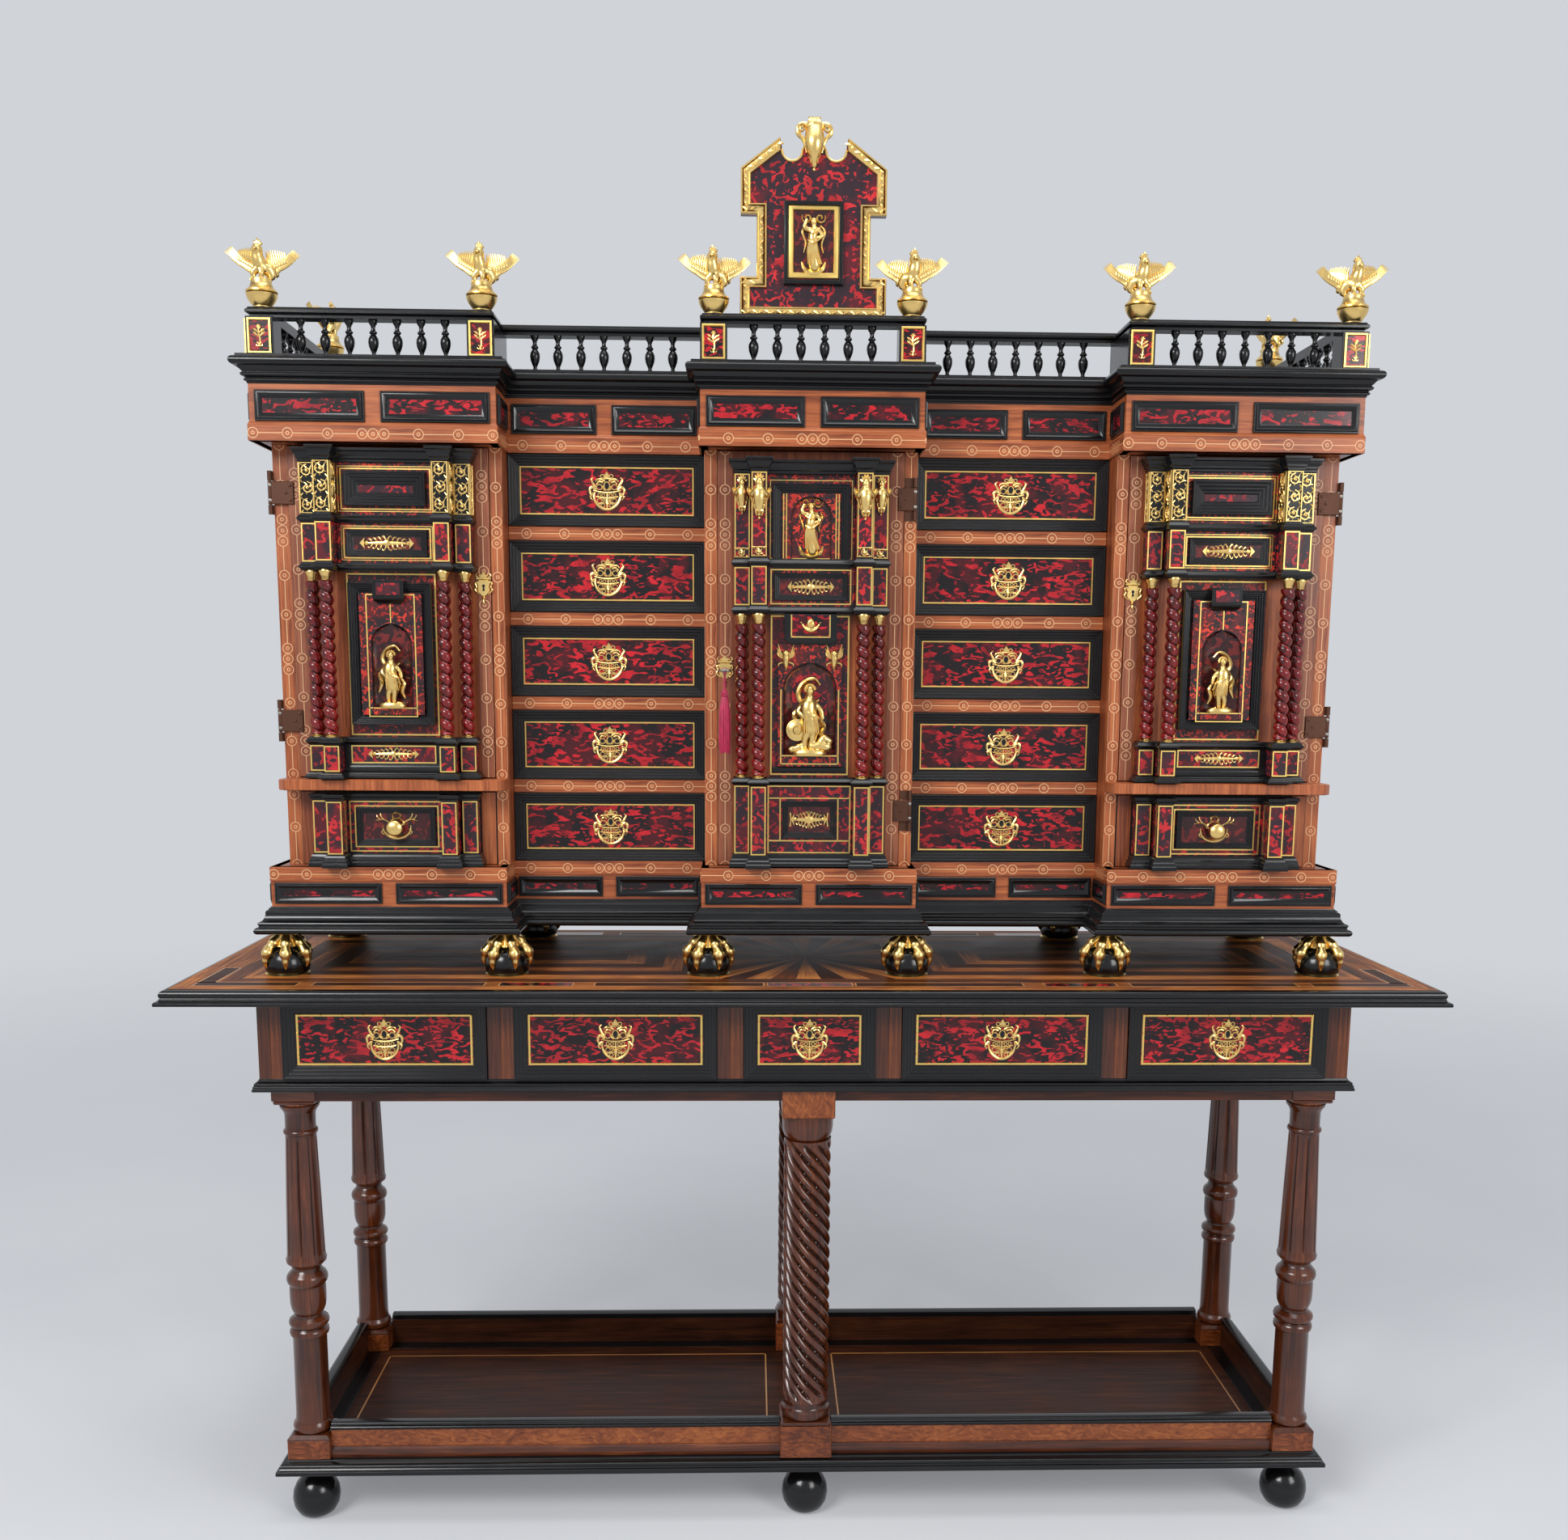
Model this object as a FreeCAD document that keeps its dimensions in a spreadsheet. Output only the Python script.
import FreeCAD, Part
import os
import Sketcher

# A cabinet on stand: a stepped tortoiseshell and ebony cabinet with three doors and twelve
# drawers, standing on a walnut table with five drawers, turned legs and a low shelf.
# Millimetres. X runs along the front, the front faces -Y, Z is up from the floor, and the
# origin lies on the floor under the middle of the table top.

os.makedirs("parts", exist_ok=True)
doc = FreeCAD.newDocument("cabinet_on_stand")
sheet = doc.addObject("Spreadsheet::Sheet", "Sizes")

SIZES = {
    # stand: feet, platform and its rails
    "foot_radius": 38, "foot_height": 90, "leg_inset": 47, "leg_y": 200, "leg_block": 68,
    "leg_block_height": 40, "platform_thick": 20, "platform_step": 16, "platform_border": 70,
    "shelf_rail_height": 58, "shelf_rail_thick": 22, "shelf_rail_setback": 8,
    # stand: legs
    "leg_radius": 30, "leg_cap_height": 31, "centre_block": 84, "centre_block_height": 49,
    "centre_cap_height": 61, "twist_radius": 36,
    # stand: frame, apron and top
    "stand_height": 900, "top_thick": 24, "top_half": 992, "top_depth_half": 296,
    "top_edge_width": 24, "apron_half": 855, "apron_depth_half": 242, "apron_height": 126,
    "apron_board": 18, "waist_height": 19, "waist_step": 10, "waist_width": 60,
    "under_rail_height": 20, "under_rail_setback": 3, "under_rail_thick": 22,
    "table_stile": 41, "table_corner_stile": 37.5, "table_centre_width": 207,
    "table_drawer_length": 380,
    # cabinet: plan
    "wing_outer": 848, "wing_inner": 479, "centre_half": 171, "block_front": 164,
    "recess_front": 71, "cabinet_back": 250, "body_outer": 829, "centre_body": 166,
    "wall": 18, "back_board": 12, "slab": 12,
    # cabinet: heights from the table top up
    "ball_height": 46, "claw_height": 22, "ball_radius": 25, "claw_radius": 39,
    "foot_setback": 14, "foot_inset": 16, "centre_foot_inset": 11,
    "base_foot_height": 17, "base_spread": 22,
    "base_neck_height": 25, "base_neck_spread": 10, "plinth_height": 63, "plinth_board": 18,
    "body_height": 647, "frieze_height": 83, "cornice_low_height": 19, "cornice_low_spread": 8,
    "cornice_top_height": 22, "cornice_top_spread": 17, "panel_thick": 3, "panel_margin": 12,
    "frieze_panel_margin": 14,
    # cabinet: gallery, finials and crest
    "pedestal_width": 41, "gallery_height": 70, "gallery_rail_height": 15,
    "gallery_rail_width": 26, "baluster_radius": 8, "baluster_pitch": 36,
    "wing_balusters": 7, "centre_balusters": 6, "side_balusters": 8, "finial_height": 100,
    "finial_radius": 17, "wing_span": 108, "wing_height": 32, "wing_thick": 8,
    "crest_foot_half": 111, "crest_neck_half": 87, "crest_height": 255, "crest_thick": 12,
    "crest_setback": 7.5,
    "crest_band": 15, "crest_mount_thick": 3, "plaque_half": 46, "plaque_rise": 47,
    "plaque_height": 117, "mask_half": 29, "mask_height": 74, "mask_top_rise": 28,
    # cabinet: face frame
    "stile_front": 123, "stile_thick": 18, "outer_stile": 22, "inner_stile": 19,
    "centre_stile": 20, "ledge_rise": 117, "ledge_thick": 21, "ledge_projection": 51,
    "ledge_lip": 17,
    # recess drawers and base drawers
    "stack_drawers": 5, "dust_board": 22, "dust_front": 60, "drawer_gap": 0.5,
    "drawer_front_thick": 16, "drawer_frame": 15, "drawer_frame_proud": 10,
    "drawer_side": 6, "drawer_side_drop": 14, "drawer_bottom": 5, "drawer_length": 254,
    "base_drawer_length": 320, "cartouche_half": 26, "cartouche_height": 54,
    "cartouche_thick": 4, "knob_radius": 16, "knob_length": 26,
    # doors
    "leaf_thick": 18, "leaf_proud": 3, "door_gap": 1, "leaf_rise": 1.5,
    "facade_half": 134, "centre_facade_half": 120, "backing": 4, "cornice_projection": 40,
    "string_projection": 34, "stage_projection": 24, "pedestal_projection": 30,
    "break_projection": 60, "break_half": 12, "outer_column": 117, "inner_column": 89,
    "centre_outer_column": 107, "centre_inner_column": 81, "outer_column_out": 20,
    "inner_column_out": 48, "column_radius": 9, "door_headroom": 9, "string_height": 12,
    "base_stage": 10, "pedestal_stage": 42, "second_stage": 60, "upper_stage": 78,
    "door_cornice": 20, "centre_base_stage": 20, "centre_pedestal_stage": 110,
    "centre_upper_stage": 128, "niche_half": 61, "niche_open_half": 32,
    "niche_projection": 12, "niche_top": 18, "figure_radius": 18, "oblong_half": 45, "oblong_height": 30,
    "oblong_thick": 3,
    # hinges, lock and key
    "knuckle_radius": 3.5, "knuckle_out": 4, "pin_radius": 1.5, "pin_clearance": 0.3,
    "strap_height": 36, "strap_reach": 18, "strap_thick": 2.5, "strap_drop": 52,
    "hinge_plate": 2, "hinge_plate_width": 26, "fixed_knuckle": 14, "knuckle_gap": 0.5,
    "escutcheon_half": 8, "escutcheon_height": 36, "escutcheon_thick": 1.5,
    "lock_inset": 11, "lock_rise": 310, "side_lock_rise": 278,
    "bolt_length": 30, "bolt_height": 26, "bolt_thick": 8, "bolt_throw": 9,
    "bolt_clearance": 0.4, "bolt_depth": 6, "key_radius": 2, "key_length": 46,
    "key_clearance": 0.4, "bow_radius": 9, "bow_wire": 2,
    "loop_wire": 1.2, "loop_clearance": 0.4, "tassel_out": 30, "tassel_radius": 10,
    "tassel_length": 112, "tassel_drop": 14,
}
for row, (alias, value) in enumerate(SIZES.items(), start=1):
    sheet.set(f"A{row}", alias)
    sheet.set(f"B{row}", str(value))
    sheet.setAlias(f"B{row}", alias)
doc.recompute()


class Size:
    """A length: its value now, and the sheet expression that gives it."""

    def __init__(self, text, value):
        self.text = text
        self.value = float(value)

    def __add__(self, other):
        other = as_size(other)
        return Size(f"({self.text} + {other.text})", self.value + other.value)

    def __sub__(self, other):
        other = as_size(other)
        return Size(f"({self.text} - {other.text})", self.value - other.value)

    def __mul__(self, factor):
        return Size(f"({self.text} * {factor})", self.value * factor)

    def __truediv__(self, factor):
        return Size(f"({self.text} / {factor})", self.value / factor)

    def __neg__(self):
        return Size(f"(0 - {self.text})", -self.value)

    __rmul__ = __mul__


def as_size(value):
    """Zero, or a Size, as a Size."""
    return value if isinstance(value, Size) else Size(str(value), value)


class Sheet:
    """The sheet's cells as attributes."""

    def __getattr__(self, alias):
        return Size(f"Sizes.{alias}", sheet.get(alias))


s = Sheet()
ZERO = as_size(0)


# Helpers for the pieces

def board(members, name, low, high):
    """A rectangular piece between two corners, bound to the sheet."""
    box = doc.addObject("Part::Box", name)
    for side, start, end in zip(("Length", "Width", "Height"), low, high):
        box.setExpression(side, (as_size(end) - as_size(start)).text)
    place(box, low)
    members.append(box)
    return box


def place(item, point):
    """Binds an object's position to three sizes."""
    for axis, value in zip("xyz", point):
        item.setExpression(f"Placement.Base.{axis}", as_size(value).text)


def pair(members, name, low, high):
    """A board on the right and its mirror image on the left."""
    board(members, name + "_right", low, high)
    board(members, name + "_left", (-high[0], low[1], low[2]), (-low[0], high[1], high[2]))


def rod(members, name, foot, radius, height, turn=None):
    """A round bar standing on a point, or turned to lie along another axis."""
    bar = doc.addObject("Part::Cylinder", name)
    bar.setExpression("Radius", radius.text)
    bar.setExpression("Height", height.text)
    if turn:
        bar.Placement = FreeCAD.Placement(FreeCAD.Vector(), turn)
    place(bar, foot)
    members.append(bar)
    return bar


def turned(name, outline):
    """A lathe-turned body on its own axis, from (radius, height) pairs going up."""
    body = doc.addObject("PartDesign::Body", name)
    sketch = body.newObject("Sketcher::SketchObject", name + "_outline")
    plane = next(p for p in body.Origin.OriginFeatures if p.Role == "XZ_Plane")
    sketch.AttachmentSupport = (plane, [""])
    sketch.MapMode = "FlatFace"
    corners = [(ZERO, outline[0][1])] + list(outline) + [(ZERO, outline[-1][1])]
    points = [FreeCAD.Vector(r.value, h.value, 0) for r, h in corners]
    lines = len(points)
    for index in range(lines):
        sketch.addGeometry(Part.LineSegment(points[index], points[(index + 1) % lines]))
    for index in range(lines):
        sketch.addConstraint(Sketcher.Constraint("Coincident", index, 2, (index + 1) % lines, 1))
    for index, (radius, height) in enumerate(corners):
        bind_point(sketch, index, radius, height)
    turning = body.newObject("PartDesign::Revolution", name + "_turning")
    turning.Profile = sketch
    turning.ReferenceAxis = (sketch, ["V_Axis"])
    turning.Angle = 360
    return body


def bind_point(sketch, index, radius, height):
    """Holds a sketch point at a radius and a height from the sheet."""
    if radius.value:
        number = sketch.addConstraint(
            Sketcher.Constraint("DistanceX", -1, 1, index, 1, radius.value))
        sketch.setExpression(f"Constraints[{number}]", radius.text)
    else:
        sketch.addConstraint(Sketcher.Constraint("PointOnObject", index, 1, -2))
    if height.value:
        number = sketch.addConstraint(
            Sketcher.Constraint("DistanceY", -1, 1, index, 1, height.value))
        sketch.setExpression(f"Constraints[{number}]", height.text)
    else:
        sketch.addConstraint(Sketcher.Constraint("PointOnObject", index, 1, -1))


def shares_of(radius, height, shares, base=ZERO):
    """Outline points from shares of a radius and of a height."""
    return [(radius * r, base + height * h) for r, h in shares]


def copies(members, name, source, places):
    """The same piece at several places."""
    doc.recompute()
    for index, point in enumerate(places, start=1):
        item = doc.addObject("Part::Feature", f"{name}_{index}")
        moved = source.Shape.copy()
        moved.translate(FreeCAD.Vector(*[as_size(value).value for value in point]))
        item.Shape = moved
        members.append(item)


NODES = []


def node(label, members):
    """Names one exported sub-part: a single object, or a group of separate solids."""
    if len(members) == 1:
        item = members[0]
    else:
        item = doc.addObject("Part::Compound", label)
        item.Links = members
    item.Label = label
    NODES.append(item)


def corners_of(x, y):
    """The four corners of a rectangle centred on the origin."""
    return [(x, y, ZERO), (-x, y, ZERO), (x, -y, ZERO), (-x, -y, ZERO)]


def raised(places, height):
    """The same places, at a height."""
    return [(x, y, height) for x, y, _ in places]


# Heights, from the floor up

platform_bottom = s.foot_height
platform_top = platform_bottom + s.platform_thick
top_bottom = s.stand_height - s.top_thick
apron_bottom = top_bottom - s.apron_height
leg_top = apron_bottom - s.waist_height
claw_bottom = s.stand_height + s.ball_height
base_bottom = claw_bottom + s.claw_height
plinth_bottom = base_bottom + s.base_foot_height + s.base_neck_height
body_bottom = plinth_bottom + s.plinth_height
body_top = body_bottom + s.body_height
frieze_top = body_top + s.frieze_height
cornice_top = frieze_top + s.cornice_low_height + s.cornice_top_height
gallery_top = cornice_top + s.gallery_height
side_door_base = s.ledge_rise + s.ledge_thick + s.base_stage + s.pedestal_stage
side_door_head = s.second_stage + s.upper_stage + s.door_cornice + s.door_headroom
column_height = s.body_height - side_door_base - s.string_height * 3 - side_door_head
niche_rise = column_height * 0.185
niche_open_height = column_height * 0.508
figure_height = column_height * 0.362

# Places of the corner legs, from the middle

leg_x = s.apron_half - s.leg_inset


# Stand

def bun_feet():
    """Six black bun feet under the platform, on the leg centres."""
    bun_shares = ((0.5, 0), (0.86, 0.12), (1, 0.38), (0.86, 0.66), (0.5, 0.82), (0.5, 1))
    bun = turned("bun_foot", shares_of(s.foot_radius, s.foot_height, bun_shares))
    members = []
    places = corners_of(leg_x, s.leg_y) + [(ZERO, s.leg_y, ZERO), (ZERO, -s.leg_y, ZERO)]
    copies(members, "bun", bun, places)
    node("bun_feet", members)


def platform():
    """The low shelf: its board, the moulding round it and the rails that stand on it."""
    outer_x = leg_x + s.leg_block / 2 + s.platform_step
    outer_y = s.leg_y + s.leg_block / 2 + s.platform_step
    inner_x = outer_x - s.platform_border
    inner_y = outer_y - s.platform_border
    node("platform_board", [board([], "platform_board_box",
                                  (-inner_x, -inner_y, platform_bottom),
                                  (inner_x, inner_y, platform_top))])
    ring("platform_moulding", outer_x, outer_y, s.platform_border, platform_bottom, platform_top)
    members = []
    near_y = s.leg_y + s.leg_block / 2 - s.shelf_rail_setback
    near_x = leg_x + s.leg_block / 2 - s.shelf_rail_setback
    top = platform_top + s.shelf_rail_height
    start = s.centre_block / 2
    end = leg_x - s.leg_block / 2
    for name, low, high in (("front", -near_y, -near_y + s.shelf_rail_thick),
                            ("rear", near_y - s.shelf_rail_thick, near_y)):
        pair(members, "shelf_rail_" + name, (start, low, platform_top), (end, high, top))
    reach = s.leg_y - s.leg_block / 2
    pair(members, "shelf_rail_side", (near_x - s.shelf_rail_thick, -reach, platform_top),
         (near_x, reach, top))
    node("platform_rails", members)


def ring(label, outer_x, outer_y, width, low, high):
    """Four boards round a rectangle, the long ones from corner to corner."""
    members = []
    inner_y = outer_y - width
    board(members, label + "_front", (-outer_x, -outer_y, low), (outer_x, -inner_y, high))
    board(members, label + "_rear", (-outer_x, inner_y, low), (outer_x, outer_y, high))
    pair(members, label + "_end", (outer_x - width, -inner_y, low), (outer_x, inner_y, high))
    node(label, members)


def squared_leg(name, body, block, block_height, cap_height, length):
    """A turned leg with a square block below and a square cap above."""
    half = block / 2
    foot_box = board([], name + "_block", (-half, -half, ZERO), (half, half, block_height))
    cap_box = board([], name + "_cap", (-half, -half, length - cap_height), (half, half, length))
    whole = doc.addObject("Part::MultiFuse", name)
    whole.Shapes = [body, foot_box, cap_box]
    return whole


def legs():
    """Four corner legs with fluted tapers and two rope-twist legs in the middle."""
    length = leg_top - platform_top
    turned_height = length - s.leg_block_height - s.leg_cap_height
    leg_shares = ((0.9, 0), (1.04, 0.013), (0.9, 0.027), (0.82, 0.034), (0.82, 0.29),
                  (1.03, 0.31), (1.03, 0.34), (0.8, 0.36), (1.08, 0.405), (0.88, 0.45),
                  (1.05, 0.465), (1.05, 0.49), (0.9, 0.505), (1, 0.545), (0.78, 0.905),
                  (0.88, 0.92), (0.8, 0.935), (0.8, 0.97), (0.98, 0.985), (0.98, 1))
    outline = shares_of(s.leg_radius, turned_height, leg_shares, s.leg_block_height)
    corner = squared_leg("corner_leg", turned("corner_leg_turning", outline), s.leg_block,
                         s.leg_block_height, s.leg_cap_height, length)
    members = []
    copies(members, "corner", corner, raised(corners_of(leg_x, s.leg_y), platform_top))
    node("corner_legs", members)
    twist_height = length - s.centre_block_height - s.centre_cap_height
    twist_shares = ((1.05, 0), (1.1, 0.04), (0.95, 0.085), (1, 0.1), (1, 0.9), (0.9, 0.915),
                    (1.1, 0.95), (1.1, 1))
    outline = shares_of(s.twist_radius, twist_height, twist_shares, s.centre_block_height)
    centre = squared_leg("twist_leg", turned("twist_leg_turning", outline), s.centre_block,
                         s.centre_block_height, s.centre_cap_height, length)
    members = []
    copies(members, "twist", centre,
           [(ZERO, -s.leg_y, platform_top), (ZERO, s.leg_y, platform_top)])
    node("twist_legs", members)


def under_frame():
    """The walnut rails between the leg caps, and the black waist moulding over them."""
    members = []
    near_y = s.leg_y + s.leg_block / 2 - s.under_rail_setback
    near_x = leg_x + s.leg_block / 2 - s.under_rail_setback
    low = leg_top - s.under_rail_height
    start = s.centre_block / 2
    end = leg_x - s.leg_block / 2
    for name, first, last in (("front", -near_y, -near_y + s.under_rail_thick),
                              ("rear", near_y - s.under_rail_thick, near_y)):
        pair(members, "under_rail_" + name, (start, first, low), (end, last, leg_top))
    reach = s.leg_y - s.leg_block / 2
    pair(members, "under_rail_side", (near_x - s.under_rail_thick, -reach, low),
         (near_x, reach, leg_top))
    node("under_rails", members)
    outer_x = s.apron_half + s.waist_step
    outer_y = s.apron_depth_half + s.waist_step
    ring("waist_moulding", outer_x, outer_y, s.waist_width, leg_top, apron_bottom)
    inner_x = outer_x - s.waist_width
    inner_y = outer_y - s.waist_width
    node("drawer_floor", [board([], "drawer_floor_box", (-inner_x, -inner_y, leg_top),
                                (inner_x, inner_y, apron_bottom))])


def table_bays():
    """The five drawer bays of the apron: middle and half width of each, left to right."""
    fixed = s.table_centre_width / 2 + s.table_stile * 2 + s.table_corner_stile
    half = (s.apron_half - fixed) / 4
    first = s.table_centre_width / 2 + s.table_stile + half
    second = first + half * 2 + s.table_stile
    return [(-second, half), (-first, half), (ZERO, s.table_centre_width / 2),
            (first, half), (second, half)]


def apron():
    """The apron: stiles, partitions between the drawers, side boards and a back board."""
    members = []
    front = s.apron_depth_half
    inside = front - s.apron_board
    bays = table_bays()
    for number, (left, right) in enumerate(zip(bays[2:], bays[3:]), start=1):
        low = left[0] + left[1]
        high = right[0] - right[1]
        pair(members, f"table_stile_{number}", (low, -front, apron_bottom),
             (high, -inside, top_bottom))
        middle = (low + high) / 2
        pair(members, f"partition_{number}", (middle - s.apron_board / 2, -inside, apron_bottom),
             (middle + s.apron_board / 2, inside, top_bottom))
    pair(members, "corner_stile", (bays[4][0] + bays[4][1], -front, apron_bottom),
         (s.apron_half, -inside, top_bottom))
    pair(members, "apron_side", (s.apron_half - s.apron_board, -inside, apron_bottom),
         (s.apron_half, inside, top_bottom))
    board(members, "apron_back", (-s.apron_half, inside, apron_bottom),
          (s.apron_half, front, top_bottom))
    node("apron_frame", members)


def table_top():
    """The parquetry table top inside its black edge moulding."""
    inner_x = s.top_half - s.top_edge_width
    inner_y = s.top_depth_half - s.top_edge_width
    node("table_top", [board([], "table_top_box", (-inner_x, -inner_y, top_bottom),
                             (inner_x, inner_y, s.stand_height))])
    ring("table_edge_moulding", s.top_half, s.top_depth_half, s.top_edge_width, top_bottom,
         s.stand_height)


# Drawers

def drawer(label, middle, half, low, high, front, length, proud, mount):
    """A drawer: front, sides, back, bottom, mitred frame on the front and its mount."""
    members = []
    left, right = middle - half, middle + half
    bottom, top = low + s.drawer_gap, high - s.drawer_gap
    back_of_front = front + s.drawer_front_thick
    board(members, label + "_front", (left, front, bottom), (right, back_of_front, top))
    side_top = top - s.drawer_side_drop
    end = front + length
    for name, start in (("left", left), ("right", right - s.drawer_side)):
        board(members, f"{label}_side_{name}", (start, back_of_front, bottom),
              (start + s.drawer_side, end, side_top))
    inner_left, inner_right = left + s.drawer_side, right - s.drawer_side
    board(members, label + "_bottom", (inner_left, back_of_front, bottom),
          (inner_right, end - s.drawer_side, bottom + s.drawer_bottom))
    board(members, label + "_back", (inner_left, end - s.drawer_side, bottom),
          (inner_right, end, side_top))
    face = front - proud
    for name, start, stop in (("lower", bottom, bottom + s.drawer_frame),
                              ("upper", top - s.drawer_frame, top)):
        board(members, f"{label}_frame_{name}", (left, face, start), (right, front, stop))
    for name, start in (("left", left), ("right", right - s.drawer_frame)):
        board(members, f"{label}_frame_{name}", (start, face, bottom + s.drawer_frame),
              (start + s.drawer_frame, front, top - s.drawer_frame))
    mount(members, label, middle, front, (bottom + top) / 2)
    node(label, members)


def cartouche(members, label, middle, front, height):
    """The gilt keyhole mount in the middle of a drawer front."""
    board(members, label + "_mount",
          (middle - s.cartouche_half, front - s.cartouche_thick, height - s.cartouche_height / 2),
          (middle + s.cartouche_half, front, height + s.cartouche_height / 2))


def boss_knob(members, label, middle, front, height):
    """The gilt boss knob of a base drawer."""
    flat = FreeCAD.Rotation(FreeCAD.Vector(1, 0, 0), 90)
    rod(members, label + "_knob", (middle, front, height), s.knob_radius, s.knob_length, flat)


def table_drawers():
    """Five drawers in the apron, numbered from the left."""
    for number, (middle, half) in enumerate(table_bays(), start=1):
        drawer(f"table_drawer_{number}", middle, half - s.drawer_gap, apron_bottom, top_bottom,
               -s.apron_depth_half, s.table_drawer_length, s.drawer_frame_proud / 2, cartouche)


def stack_levels():
    """Bottom and top of each drawer opening in a recess, from the top one down."""
    count = SIZES["stack_drawers"]
    opening = (s.body_height - s.dust_board * (count - 1)) / count
    levels = []
    for index in range(count):
        top = body_top - (opening + s.dust_board) * index
        levels.append((top - opening, top))
    return levels


def recess_drawers():
    """Ten drawers in the two recesses, numbered from the top."""
    middle = (s.centre_body + s.wing_inner) / 2
    half = (s.wing_inner - s.centre_body) / 2 - s.drawer_gap
    for side, sign in (("left", -1), ("right", 1)):
        for number, (low, high) in enumerate(stack_levels(), start=1):
            drawer(f"drawer_{side}_{number}", middle * sign, half, low, high, -s.dust_front,
                   s.drawer_length, s.drawer_frame_proud, cartouche)


def base_drawers():
    """A wide shallow drawer under each side door."""
    middle, half = wing_bay()
    for side, sign in (("left", -1), ("right", 1)):
        drawer(f"base_drawer_{side}", middle * sign, half - s.drawer_gap, body_bottom,
               body_bottom + s.ledge_rise, -(s.stile_front + s.leaf_proud),
               s.base_drawer_length, s.drawer_frame_proud, boss_knob)


# Cabinet body

def wing_bay():
    """Middle and half width of the opening between a wing's stiles."""
    low = s.wing_inner + s.inner_stile
    high = s.body_outer - s.outer_stile
    return (low + high) / 2, (high - low) / 2


def foot_places():
    """The cabinet's feet: six along the front and four behind."""
    front = -(s.block_front - s.foot_setback)
    rear = s.cabinet_back - s.claw_radius
    outer = s.wing_outer - s.foot_inset
    inner = s.wing_inner + s.foot_inset / 4
    centre = s.centre_half - s.centre_foot_inset
    front_row = [(x * sign, front, ZERO) for x in (outer, inner, centre) for sign in (-1, 1)]
    return front_row + [(x * sign, rear, ZERO) for x in (outer, inner) for sign in (-1, 1)]


def cabinet_feet():
    """Black balls, each held from above by a gilt claw."""
    ball_shares = ((0.5, 0), (0.86, 0.13), (1, 0.5), (0.9, 0.8), (0.72, 1))
    ball = turned("foot_ball", shares_of(s.ball_radius, s.ball_height, ball_shares))
    members = []
    copies(members, "ball", ball, raised(foot_places(), s.stand_height))
    node("foot_balls", members)
    claw_shares = ((0.68, 0), (0.9, 0.3), (1, 0.7), (0.94, 1))
    claw = turned("foot_claw", shares_of(s.claw_radius, s.claw_height, claw_shares))
    members = []
    copies(members, "claw", claw, raised(foot_places(), claw_bottom))
    node("gilt_claws", members)


def slabs(members, name, low, high, spread):
    """A course of the stepped plan in five slabs: two wings, the centre and two recesses."""
    back = s.cabinet_back
    front = -(s.block_front + spread)
    pair(members, name + "_wing", (s.wing_inner - spread, front, low),
         (s.wing_outer + spread, back, high))
    board(members, name + "_centre", (-(s.centre_half + spread), front, low),
          (s.centre_half + spread, back, high))
    pair(members, name + "_recess", (s.centre_half + spread, -(s.recess_front + spread), low),
         (s.wing_inner - spread, back, high))


def wall_course(members, name, low, high):
    """Upright boards round the stepped plan: fronts, returns, outer sides and the back."""
    thick = s.plinth_board
    front, recess = -s.block_front, -s.recess_front
    back = s.cabinet_back - thick
    pair(members, name + "_wing_front", (s.wing_inner, front, low),
         (s.wing_outer, front + thick, high))
    pair(members, name + "_side", (s.wing_outer - thick, front + thick, low),
         (s.wing_outer, back, high))
    pair(members, name + "_wing_return", (s.wing_inner, front + thick, low),
         (s.wing_inner + thick, back, high))
    pair(members, name + "_recess_front", (s.centre_half, recess, low),
         (s.wing_inner, recess + thick, high))
    pair(members, name + "_centre_return", (s.centre_half - thick, front + thick, low),
         (s.centre_half, back, high))
    board(members, name + "_centre_front", (-s.centre_half, front, low),
          (s.centre_half, front + thick, high))
    board(members, name + "_back", (-s.wing_outer, back, low),
          (s.wing_outer, s.cabinet_back, high))


def base():
    """The black base moulding and the plinth boards."""
    members = []
    neck = base_bottom + s.base_foot_height
    slabs(members, "base_foot", base_bottom, neck, s.base_spread)
    slabs(members, "base_neck", neck, plinth_bottom, s.base_neck_spread)
    node("base_moulding", members)
    members = []
    wall_course(members, "plinth", plinth_bottom, body_bottom - s.slab)
    node("base_plinth", members)


def front_panels(members, name, low, high, margin):
    """Thin inlaid panels on the fronts of a course, one to each block and recess."""
    thick = s.panel_thick
    front, recess = -s.block_front, -s.recess_front
    pair(members, name + "_wing", (s.wing_inner + margin, front - thick, low),
         (s.wing_outer - margin, front, high))
    pair(members, name + "_recess", (s.centre_half + margin, recess - thick, low),
         (s.wing_inner - margin, recess, high))
    board(members, name + "_centre", (-(s.centre_half - margin), front - thick, low),
          (s.centre_half - margin, front, high))


def panels():
    """The plinth's and the frieze's panels."""
    members = []
    margin = s.panel_margin
    front_panels(members, "plinth_panel", plinth_bottom + margin / 2,
                 body_bottom - s.slab - margin / 2, margin)
    margin = s.frieze_panel_margin
    front_panels(members, "frieze_panel", body_top + s.slab + margin / 2, frieze_top - margin,
                 margin)
    node("inlay_panels", members)


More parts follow.
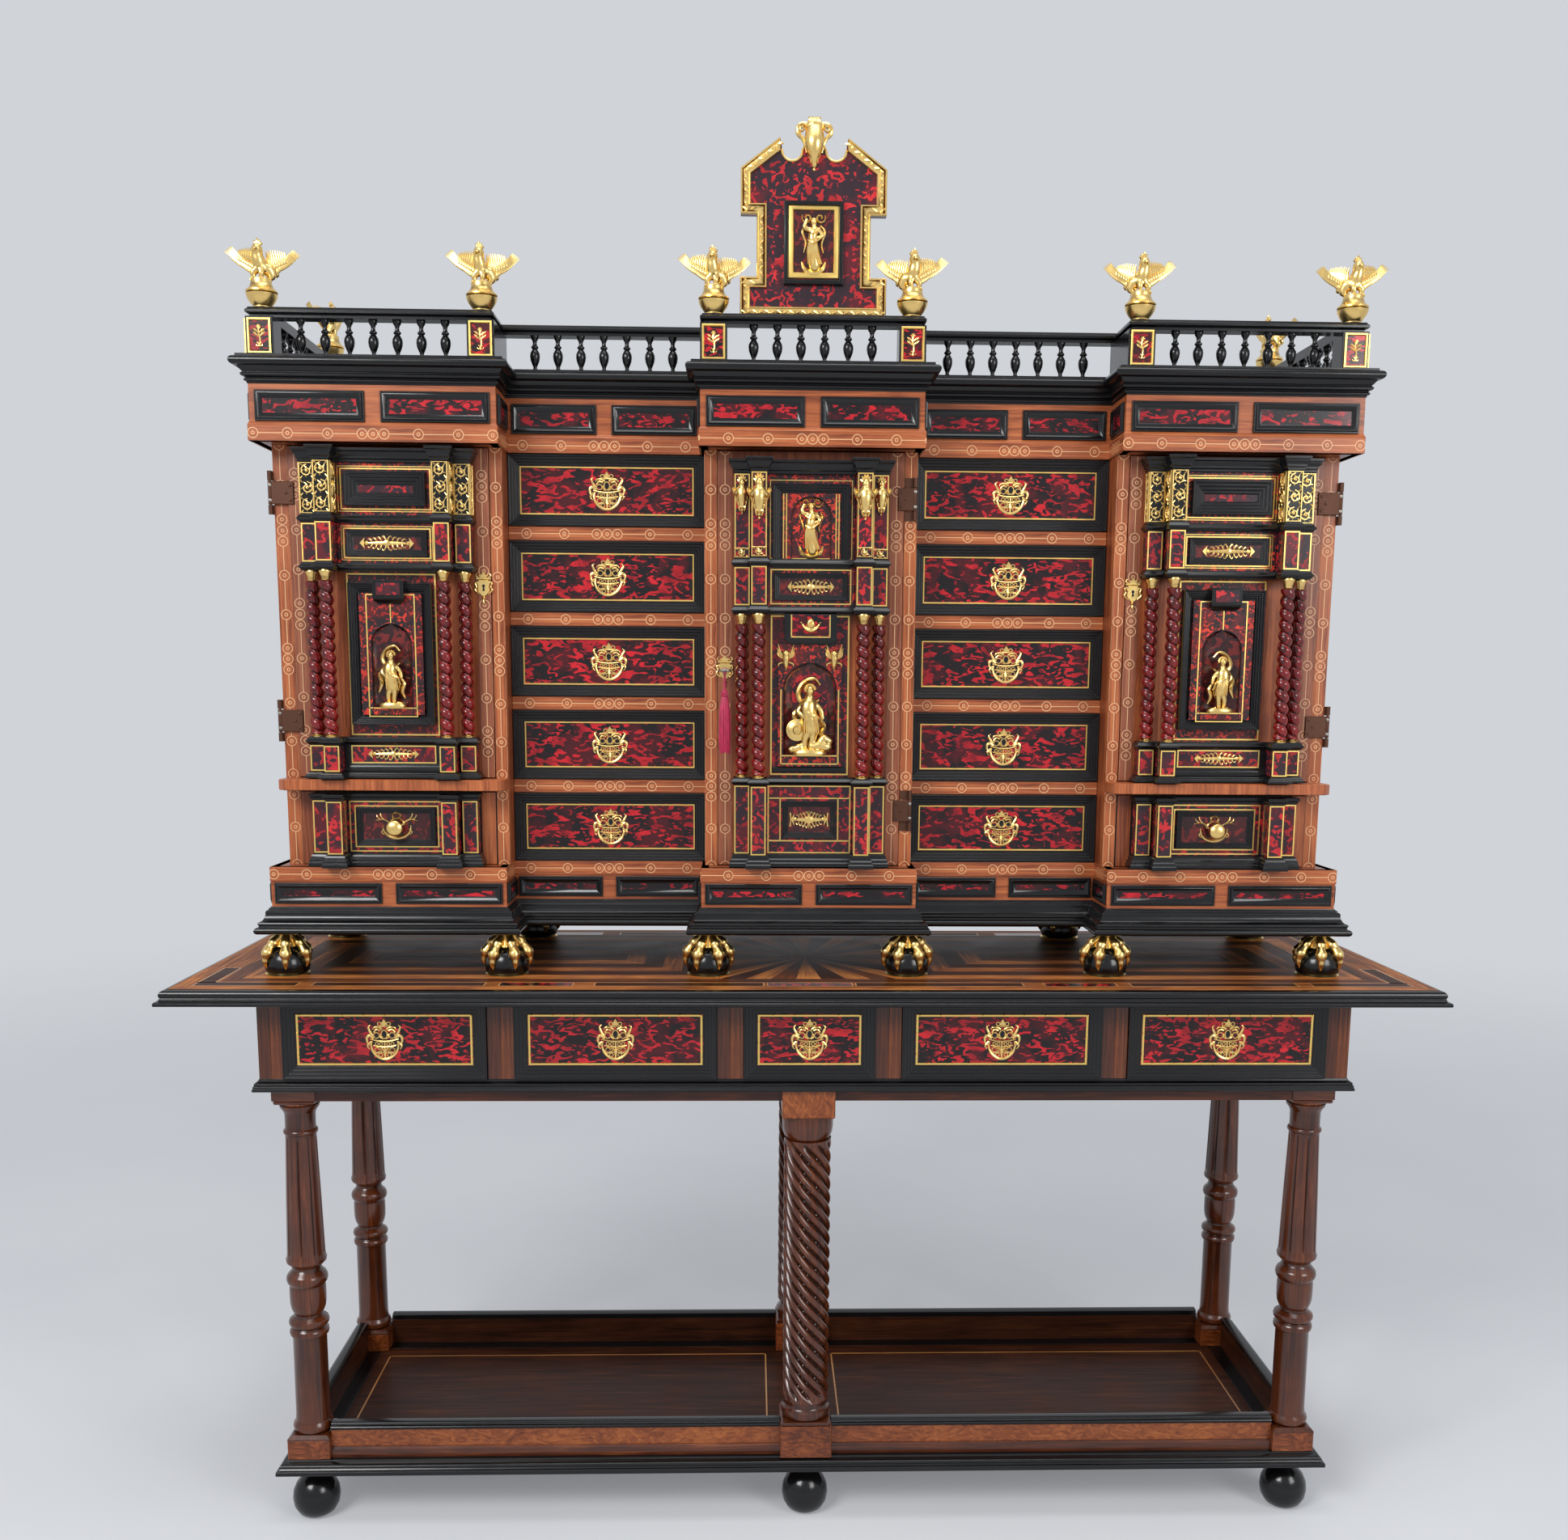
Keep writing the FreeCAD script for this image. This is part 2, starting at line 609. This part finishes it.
def carcass():
    """Walls, floor, soffit, dust boards between the recess drawers, and the back boards."""
    members = []
    front = -(s.stile_front - s.stile_thick)
    back = s.cabinet_back - s.back_board
    for name, inner, outer in (("outer_wall", s.body_outer - s.wall, s.body_outer),
                               ("wing_wall", s.wing_inner, s.wing_inner + s.wall),
                               ("centre_wall", s.centre_body - s.wall, s.centre_body)):
        pair(members, name, (inner, front, body_bottom), (outer, back, body_top))
    ledge_low = body_bottom + s.ledge_rise
    pair(members, "wing_shelf", (s.wing_inner + s.wall, front, ledge_low),
         (s.body_outer - s.wall, back, ledge_low + s.ledge_thick))
    levels = stack_levels()
    for number, (low, _) in enumerate(levels[:-1], start=1):
        pair(members, f"dust_board_{number}", (s.centre_body, -s.dust_front, low - s.dust_board),
             (s.wing_inner, back, low))
    slabs(members, "floor", body_bottom - s.slab, body_bottom, ZERO)
    slabs(members, "soffit", body_top, body_top + s.slab, ZERO)
    node("carcass_boards", members)
    members = []
    board(members, "back_board_centre", (-s.centre_body, back, body_bottom),
          (s.centre_body, s.cabinet_back, body_top))
    pair(members, "back_board_side", (s.centre_body, back, body_bottom),
         (s.body_outer, s.cabinet_back, body_top))
    node("back_boards", members)


def face_frame():
    """The inlaid stiles beside the doors and the ledges over the base drawers."""
    front = -s.stile_front
    back = front + s.stile_thick
    members = []
    pair(members, "outer_stile", (s.body_outer - s.outer_stile, front, body_bottom),
         (s.body_outer, back, body_top))
    pair(members, "inner_stile", (s.wing_inner, front, body_bottom),
         (s.wing_inner + s.inner_stile, back, body_top))
    board(members, "centre_stile_right", (s.centre_body - s.centre_stile, front, body_bottom),
          (s.centre_body, back, body_top))
    members.append(mortised_stile(front, back))
    ledge_low = body_bottom + s.ledge_rise
    ledge_top = ledge_low + s.ledge_thick
    pair(members, "ledge", (s.wing_inner + s.inner_stile, front, ledge_low),
         (s.body_outer - s.outer_stile, back, ledge_top))
    pair(members, "ledge_lip", (s.wing_inner, front - s.ledge_projection, ledge_top - s.ledge_lip),
         (s.body_outer, front, ledge_top))
    node("face_frame", members)


def lock_height():
    """The height of the centre door's lock."""
    return body_bottom + s.lock_rise


def bolt_front():
    """The front face of the lock bolt's slot."""
    return -(s.stile_front + s.leaf_proud) + s.bolt_depth


def mortised_stile(front, back):
    """The centre's left stile, with a mortise that the lock bolt enters."""
    stile = board([], "centre_stile_left_board", (-s.centre_body, front, body_bottom),
                  (-(s.centre_body - s.centre_stile), back, body_top))
    clear = s.bolt_clearance
    inner = -(s.centre_body - s.centre_stile)
    half = s.bolt_height / 2 + clear
    mortise = board([], "bolt_mortise",
                    (inner - s.bolt_throw - clear, bolt_front() - clear, lock_height() - half),
                    (inner + s.door_gap, bolt_front() + s.bolt_thick + clear,
                     lock_height() + half))
    cut = doc.addObject("Part::Cut", "centre_stile_left")
    cut.Base = stile
    cut.Tool = mortise
    return cut


def frieze_and_cornice():
    """The inlaid frieze boards and the black stepped cornice."""
    members = []
    wall_course(members, "frieze", body_top + s.slab, frieze_top)
    node("upper_frieze", members)
    members = []
    middle = frieze_top + s.cornice_low_height
    slabs(members, "cornice_low", frieze_top, middle, s.cornice_low_spread)
    slabs(members, "cornice_top", middle, cornice_top, s.cornice_top_spread)
    node("cornice", members)


# Gallery, finials and crest

def pedestal_places():
    """Centres of the gallery pedestals: six in front and one at each rear corner."""
    half = s.pedestal_width / 2
    front = -(s.block_front - half)
    rear = s.cabinet_back - half
    outer = s.wing_outer - half
    inner = s.wing_inner + half
    centre = s.centre_half - half
    places = [(x * sign, front, ZERO) for x in (outer, inner, centre) for sign in (-1, 1)]
    return places + [(outer * sign, rear, ZERO) for sign in (-1, 1)]


def gallery():
    """Pedestals, rails and turned balusters on top of the cornice."""
    half = s.pedestal_width / 2
    members = []
    for number, (x, y, _) in enumerate(pedestal_places(), start=1):
        board(members, f"pedestal_{number}", (x - half, y - half, cornice_top),
              (x + half, y + half, gallery_top))
    rail_half = s.gallery_rail_width / 2
    low = gallery_top - s.gallery_rail_height
    line = -(s.block_front - half)
    recess_line = -(s.recess_front - rail_half)
    pair(members, "wing_rail", (s.wing_inner + s.pedestal_width, line - rail_half, low),
         (s.wing_outer - s.pedestal_width, line + rail_half, gallery_top))
    board(members, "centre_rail",
          (-(s.centre_half - s.pedestal_width), line - rail_half, low),
          (s.centre_half - s.pedestal_width, line + rail_half, gallery_top))
    pair(members, "recess_rail", (s.centre_half, recess_line - rail_half, low),
         (s.wing_inner, recess_line + rail_half, gallery_top))
    side = s.wing_outer - half
    rear = s.cabinet_back - s.pedestal_width
    pair(members, "side_rail", (side - rail_half, line + half, low),
         (side + rail_half, rear, gallery_top))
    end = recess_line + rail_half
    pair(members, "wing_return", (s.wing_inner, line + half, cornice_top),
         (s.wing_inner + s.wall, end, gallery_top))
    pair(members, "centre_return", (s.centre_half - s.wall, line + half, cornice_top),
         (s.centre_half, end, gallery_top))
    node("gallery_rails", members)
    balusters(line, recess_line, side, (line + half + rear) / 2)


def row(middle, count):
    """Evenly pitched places about a middle."""
    first = middle - s.baluster_pitch * (count - 1) / 2
    return [first + s.baluster_pitch * index for index in range(count)]


def balusters(line, recess_line, side, side_middle):
    """The turned balusters between the cornice and the rails."""
    vase_shares = ((0.9, 0), (0.9, 0.1), (0.45, 0.16), (0.95, 0.36), (0.75, 0.55), (0.4, 0.75),
                   (0.4, 0.88), (0.85, 0.9), (0.85, 1))
    height = s.gallery_height - s.gallery_rail_height
    vase = turned("baluster", shares_of(s.baluster_radius, height, vase_shares))
    wing_middle = (s.wing_inner + s.wing_outer) / 2
    recess_middle = (s.centre_half + s.wing_inner) / 2
    wing_count = SIZES["wing_balusters"]
    places = [(x, line, ZERO) for x in row(ZERO, SIZES["centre_balusters"])]
    for sign in (-1, 1):
        places += [(x * sign, line, ZERO) for x in row(wing_middle, wing_count)]
        places += [(x * sign, recess_line, ZERO) for x in row(recess_middle, wing_count)]
        places += [(side * sign, y, ZERO) for y in row(side_middle, SIZES["side_balusters"])]
    members = []
    copies(members, "vase", vase, raised(places, cornice_top))
    node("gallery_balusters", members)


def finials():
    """Gilt winged beasts on urns, one to each pedestal."""
    urn_shares = ((0.5, 0), (0.5, 0.04), (0.95, 0.16), (0.95, 0.26), (0.5, 0.38), (0.62, 0.5),
                  (0.62, 0.7), (0.35, 0.82), (0.4, 0.95), (0.2, 1))
    urn = turned("finial_urn", shares_of(s.finial_radius, s.finial_height, urn_shares))
    half, thick = s.wing_span / 2, s.wing_thick / 2
    low = s.finial_height / 2
    wings = board([], "finial_wings", (-half, -thick, low), (half, thick, low + s.wing_height))
    beast = doc.addObject("Part::MultiFuse", "finial")
    beast.Shapes = [urn, wings]
    members = []
    copies(members, "griffin", beast, raised(pedestal_places(), gallery_top))
    node("griffin_finials", members)


def crest():
    """The shaped tortoiseshell crest with its gilt band, mask and plaque."""
    foot, neck, height = s.crest_foot_half, s.crest_neck_half, s.crest_height
    crest_shares = ((1, 0), (1, 0.216), (None, 0.25), (None, 0.56), (1, 0.595), (1, 0.83),
                    (0.5, 1), (0.4, 1), (0.26, 0.89), (0, 0.89))
    outline = [((neck if share is None else foot * share), height * rise)
               for share, rise in crest_shares]
    front = -(s.block_front - s.pedestal_width / 2) + s.crest_setback
    points = [FreeCAD.Vector(x.value, front.value, (gallery_top + z).value) for x, z in outline]
    points += [FreeCAD.Vector(-p.x, p.y, p.z) for p in reversed(points[:-1])]
    face = Part.Face(Part.makePolygon(points + points[:1]))
    item = doc.addObject("Part::Feature", "crest_shape")
    item.Shape = face.extrude(FreeCAD.Vector(0, s.crest_thick.value, 0))
    thick, band = s.crest_mount_thick, s.crest_band
    members = [item]
    low = gallery_top + s.plaque_rise
    board(members, "crest_plaque", (-s.plaque_half, front - thick, low),
          (s.plaque_half, front, low + s.plaque_height))
    node("crest_board", members)
    members = []
    shoulder = gallery_top + height * crest_shares[1][1]
    pair(members, "crest_band_foot", (foot - band, front - thick, gallery_top),
         (foot, front, shoulder))
    rise = gallery_top + height * crest_shares[4][1]
    pair(members, "crest_band_head", (foot - band, front - thick, rise),
         (foot, front, gallery_top + height * crest_shares[5][1]))
    top = gallery_top + height + s.mask_top_rise
    board(members, "crest_mask", (-s.mask_half, front - thick, top - s.mask_height),
          (s.mask_half, front, top))
    node("crest_mount", members)


# Doors

class DoorPlan:
    """What differs between a side door and the centre door."""

    def __init__(self, name, middle, half, low, facade, columns, stages, hinge, lock_rise):
        self.name = name
        self.middle = middle
        self.half = half
        self.low = low
        self.facade = facade
        self.columns = columns
        self.stages = stages
        self.hinge = hinge
        self.lock_rise = lock_rise

    @property
    def front(self):
        """The front face of the leaf."""
        return -(s.stile_front + s.leaf_proud)

    @property
    def top(self):
        """The top of the leaf."""
        return body_top - s.leaf_rise

    @property
    def axis(self):
        """The hinge axis: beside the stile on a wing, and in front of it on the centre."""
        across = s.body_outer + s.knuckle_out
        if self.name == "centre":
            across = s.centre_body - s.knuckle_radius
        return across * self.hinge, self.front - s.knuckle_out / 2


def door_plans():
    """The three doors."""
    middle, half = wing_bay()
    low = body_bottom + s.ledge_rise + s.ledge_thick + s.leaf_rise
    side_stages = (s.base_stage, s.pedestal_stage, s.upper_stage)
    centre_stages = (s.centre_base_stage, s.centre_pedestal_stage, s.centre_upper_stage)
    plans = []
    for name, sign in (("left", -1), ("right", 1)):
        plans.append(DoorPlan(name, middle * sign, half - s.door_gap, low, s.facade_half,
                              (s.outer_column, s.inner_column), side_stages, sign,
                              s.side_lock_rise))
    centre_half = s.centre_body - s.centre_stile - s.door_gap
    plans.append(DoorPlan("centre", ZERO, centre_half, body_bottom + s.leaf_rise,
                          s.centre_facade_half,
                          (s.centre_outer_column, s.centre_inner_column), centre_stages, 1,
                          s.lock_rise))
    return plans


def door_leaf(plan):
    """The leaf; the centre one is slotted for the lock bolt and bored for the key."""
    leaf = board([], f"leaf_{plan.name}", (plan.middle - plan.half, plan.front, plan.low),
                 (plan.middle + plan.half, plan.front + s.leaf_thick, plan.top))
    if plan.name == "centre":
        clear = s.bolt_clearance
        edge = plan.middle - plan.half
        half = s.bolt_height / 2 + clear
        slot = board([], "bolt_slot",
                     (edge - s.door_gap, bolt_front() - clear, lock_height() - half),
                     (edge + s.bolt_length + clear, bolt_front() + s.bolt_thick + clear,
                      lock_height() + half))
        along = FreeCAD.Rotation(FreeCAD.Vector(1, 0, 0), -90)
        keyhole = rod([], "keyhole", (key_x(), plan.front - s.door_gap, lock_height()),
                      s.key_radius + s.key_clearance, s.bolt_depth + s.door_gap, along)
        cut = doc.addObject("Part::Cut", "leaf_centre_slotted")
        cut.Base = leaf
        cut.Tool = slot
        leaf = doc.addObject("Part::Cut", "leaf_centre_bored")
        leaf.Base = cut
        leaf.Tool = keyhole
    node(f"door_{plan.name}_leaf", [leaf])


def door_facade(plan):
    """The ebony front: stages, strings and cornice from the bottom up, and the niche."""
    members = []
    stages = ((s.base_stage if plan.name != "centre" else s.centre_base_stage,
               s.string_projection),
              (plan.stages[1], s.pedestal_projection), (s.string_height, s.string_projection),
              (column_height, s.backing), (s.string_height, s.string_projection),
              (s.second_stage, s.stage_projection), (s.string_height, s.string_projection),
              (plan.stages[2], s.stage_projection), (s.door_cornice, s.cornice_projection))
    broken = (0, 1, 2, 4)
    columns_at = 3
    low = plan.low
    floor = low
    for index, (height, projection) in enumerate(stages):
        name = f"{plan.name}_stage_{index}"
        face = plan.front - projection
        board(members, name, (plan.middle - plan.facade, face, low),
              (plan.middle + plan.facade, plan.front, low + height))
        if index in broken:
            for side in (-1, 1):
                middle = plan.middle + plan.columns[1] * side
                board(members, f"{name}_break_{'left' if side < 0 else 'right'}",
                      (middle - s.break_half, plan.front - s.break_projection, low),
                      (middle + s.break_half, face, low + height))
        if index == columns_at:
            floor = low
        low = low + height
    niche(members, plan, floor)
    node(f"door_{plan.name}_facade", members)
    return floor


def niche(members, plan, floor):
    """The niche's frame in front of the backing: two jambs, a sill and a head."""
    face = plan.front - s.backing - s.niche_projection
    back = plan.front - s.backing
    low = floor + niche_rise
    high = low + niche_open_height
    for side in (-1, 1):
        edges = sorted((plan.middle + s.niche_half * side, plan.middle + s.niche_open_half * side),
                       key=lambda edge: edge.value)
        board(members, f"{plan.name}_jamb_{'left' if side < 0 else 'right'}",
              (edges[0], face, low), (edges[1], back, high))
    half = s.niche_half
    board(members, plan.name + "_sill", (plan.middle - half, face, low - s.niche_top),
          (plan.middle + half, back, low))
    board(members, plan.name + "_head", (plan.middle - half, face, high),
          (plan.middle + half, back, high + s.niche_top))


def door_columns(plan, floor):
    """Four twisted columns: the inner pair stands in front of the outer pair."""
    shaft_shares = ((1, 0), (1, 0.05), (0.8, 0.08), (0.8, 0.9), (1, 0.93), (1, 1))
    column = turned(f"column_{plan.name}",
                    shares_of(s.column_radius, column_height, shaft_shares))
    outer = plan.front - s.outer_column_out
    inner = plan.front - s.inner_column_out
    places = []
    for side in (-1, 1):
        places.append((plan.middle + plan.columns[0] * side, outer, floor))
        places.append((plan.middle + plan.columns[1] * side, inner, floor))
    members = []
    copies(members, f"{plan.name}_column", column, places)
    node(f"door_{plan.name}_columns", members)


def door_mounts(plan, floor):
    """The gilt pieces on a door: strap hinges, escutcheon, niche figure and oblongs."""
    members = []
    for number, height in enumerate(hinge_heights(plan), start=1):
        strap(members, plan, number, height)
    lock_x = plan.middle - (plan.half - s.lock_inset) * plan.hinge
    lock_z = plan.low + s.escutcheon_height / 2 + s.side_lock_rise
    if plan.name == "centre":
        lock_z = lock_height()
    escutcheon(members, plan, lock_x, lock_z)
    figure_shares = ((1, 0), (1, 0.12), (0.8, 0.4), (0.9, 0.7), (0.4, 0.8), (0.45, 0.95), (0.2, 1))
    figure = turned(f"figure_{plan.name}",
                    shares_of(s.figure_radius / 2, figure_height, figure_shares))
    copies(members, f"{plan.name}_figure", figure,
           [(plan.middle, plan.front - s.backing - s.figure_radius / 2, floor + niche_rise)])
    middle = floor + column_height + s.string_height + s.second_stage / 2
    face = plan.front - s.stage_projection
    board(members, plan.name + "_oblong",
          (plan.middle - s.oblong_half, face - s.oblong_thick, middle - s.oblong_height / 2),
          (plan.middle + s.oblong_half, face, middle + s.oblong_height / 2))
    node(f"door_{plan.name}_mounts", members)


def hinge_heights(plan):
    """The middles of a door's two hinges."""
    return plan.top - s.strap_drop - s.strap_height / 2, plan.low + s.strap_drop + s.strap_height


def escutcheon(members, plan, x, z):
    """The gilt keyhole plate; the centre one is bored for the key."""
    face = plan.front - s.escutcheon_thick
    plate = board([], f"escutcheon_{plan.name}",
                  (x - s.escutcheon_half, face, z - s.escutcheon_height / 2),
                  (x + s.escutcheon_half, plan.front, z + s.escutcheon_height / 2))
    if plan.name == "centre":
        along = FreeCAD.Rotation(FreeCAD.Vector(1, 0, 0), -90)
        bore = rod([], "escutcheon_bore", (x, face - s.door_gap, z),
                   s.key_radius + s.key_clearance, s.escutcheon_thick + s.door_gap * 2, along)
        bored = doc.addObject("Part::Cut", "escutcheon_bored")
        bored.Base = plate
        bored.Tool = bore
        plate = bored
    members.append(plate)


def strap(members, plan, number, height):
    """A strap from the knuckle over the fixed stile on to the leaf, bored for the pin."""
    axis_x, axis_y = plan.axis
    low = height - s.strap_height / 2
    inner = plan.middle + (plan.half - s.strap_reach) * plan.hinge
    edges = sorted((axis_x, inner), key=lambda edge: edge.value)
    name = f"{plan.name}_strap_{number}"
    bar = board([], name + "_bar", (edges[0], plan.front - s.strap_thick, low),
                (edges[1], plan.front, low + s.strap_height))
    knuckle = rod([], name + "_knuckle", (axis_x, axis_y, low), s.knuckle_radius, s.strap_height)
    whole = doc.addObject("Part::MultiFuse", name + "_whole")
    whole.Shapes = [bar, knuckle]
    bore = rod([], name + "_bore", (axis_x, axis_y, low - s.knuckle_gap),
               s.pin_radius + s.pin_clearance, s.strap_height + s.knuckle_gap * 2)
    cut = doc.addObject("Part::Cut", name)
    cut.Base = whole
    cut.Tool = bore
    members.append(cut)


def hinge_plates():
    """The fixed halves of the six hinges: plates on the walls, knuckles and pins."""
    members = []
    for plan in door_plans():
        for number, height in enumerate(hinge_heights(plan), start=1):
            members.append(fixed_hinge(plan, number, height))
    node("hinge_plates", members)


def fixed_hinge(plan, number, height):
    """A plate on the wall, a knuckle above and below the strap, and the pin in them."""
    axis_x, axis_y = plan.axis
    reach = s.strap_height / 2 + s.knuckle_gap
    name = f"{plan.name}_fixed_{number}"
    wall = axis_x - s.knuckle_out * plan.hinge
    edges = sorted((wall, wall + s.hinge_plate * plan.hinge), key=lambda edge: edge.value)
    front, back = axis_y, axis_y + s.hinge_plate_width
    if plan.name == "centre":
        edges = [s.centre_body - s.centre_stile + s.door_gap, s.centre_body]
        front, back = -s.stile_front - s.hinge_plate, -s.stile_front
    pieces = []
    for sign in (-1, 1):
        start = height + reach if sign > 0 else height - reach - s.fixed_knuckle
        end = start + s.fixed_knuckle
        label = f"{name}_{'upper' if sign > 0 else 'lower'}"
        rod(pieces, label + "_knuckle", (axis_x, axis_y, start), s.knuckle_radius,
            s.fixed_knuckle)
        board(pieces, label + "_plate", (edges[0], front, start), (edges[1], back, end))
    rod(pieces, name + "_pin", (axis_x, axis_y, height - reach), s.pin_radius, reach * 2)
    whole = doc.addObject("Part::MultiFuse", name)
    whole.Shapes = pieces
    return whole


def doors():
    """Each door's leaf, front, columns and gilt mounts."""
    for plan in door_plans():
        door_leaf(plan)
        floor = door_facade(plan)
        door_columns(plan, floor)
        door_mounts(plan, floor)


# Lock, key and tassel of the centre door

def key_x():
    """The key's place across the door."""
    half = s.centre_body - s.centre_stile - s.door_gap
    return -(half - s.lock_inset)


def lock_bolt():
    """The bolt in the edge of the leaf, drawn back."""
    edge = -(s.centre_body - s.centre_stile - s.door_gap)
    half = s.bolt_height / 2
    node("lock_bolt", [board([], "lock_bolt_box", (edge, bolt_front(), lock_height() - half),
                             (edge + s.bolt_length, bolt_front() + s.bolt_thick,
                              lock_height() + half))])


def key():
    """The key: a shank that ends at the bolt, and a ring bow."""
    out = FreeCAD.Rotation(FreeCAD.Vector(1, 0, 0), 90)
    end = bolt_front() - s.bolt_clearance
    shank = rod([], "key_shank", (key_x(), end, lock_height()), s.key_radius, s.key_length, out)
    bow = doc.addObject("Part::Torus", "key_bow")
    bow.setExpression("Radius1", s.bow_radius.text)
    bow.setExpression("Radius2", s.bow_wire.text)
    place(bow, (key_x(), end - s.key_length - s.bow_radius + s.bow_wire, lock_height()))
    whole = doc.addObject("Part::MultiFuse", "key_whole")
    whole.Shapes = [shank, bow]
    node("key", [whole])


def tassel():
    """The crimson tassel: a loop round the key's shank, a knotted head and a skirt."""
    ring_radius = s.key_radius + s.loop_clearance + s.loop_wire
    y = -(s.stile_front + s.leaf_proud) - s.tassel_out
    loop = doc.addObject("Part::Torus", "tassel_loop")
    loop.setExpression("Radius1", ring_radius.text)
    loop.setExpression("Radius2", s.loop_wire.text)
    loop.Placement = FreeCAD.Placement(FreeCAD.Vector(),
                                       FreeCAD.Rotation(FreeCAD.Vector(1, 0, 0), 90))
    place(loop, (key_x(), y, lock_height()))
    skirt_shares = ((1, 0), (0.72, 0.7), (0.5, 0.76), (0.8, 0.84), (0.62, 0.93), (0.2, 1))
    skirt = turned("tassel_skirt", shares_of(s.tassel_radius, s.tassel_length, skirt_shares))
    drop = ring_radius + s.tassel_drop + s.tassel_length
    place(skirt, (key_x(), y, lock_height() - drop))
    cord = rod([], "tassel_cord", (key_x(), y, lock_height() - ring_radius - s.tassel_drop),
               s.loop_wire, s.tassel_drop)
    whole = doc.addObject("Part::MultiFuse", "tassel_whole")
    whole.Shapes = [loop, skirt, cord]
    node("key_tassel", [whole])


def build():
    """Builds every sub-part, from the floor up."""
    for step in (bun_feet, platform, legs, under_frame, apron, table_top, table_drawers,
                 cabinet_feet, base, panels, carcass, face_frame, frieze_and_cornice, gallery,
                 finials, crest, recess_drawers, base_drawers, doors, hinge_plates, lock_bolt,
                 key, tassel):
        step()
    doc.recompute()


def check_and_write():
    """Stops at a failed object or shape, and writes one file for each sub-part."""
    for item in doc.Objects:
        if "Invalid" in item.State or "Error" in item.State:
            raise RuntimeError(f"{item.Label} failed: {item.State}")
    for item in NODES:
        if item.Shape.isNull() or not item.Shape.isValid():
            raise RuntimeError(f"{item.Label} has no valid shape")
    for item in NODES:
        item.Shape.exportStep(os.path.join("parts", item.Label + ".step"))
    print(len(NODES), "sub-parts written")


build()
check_and_write()
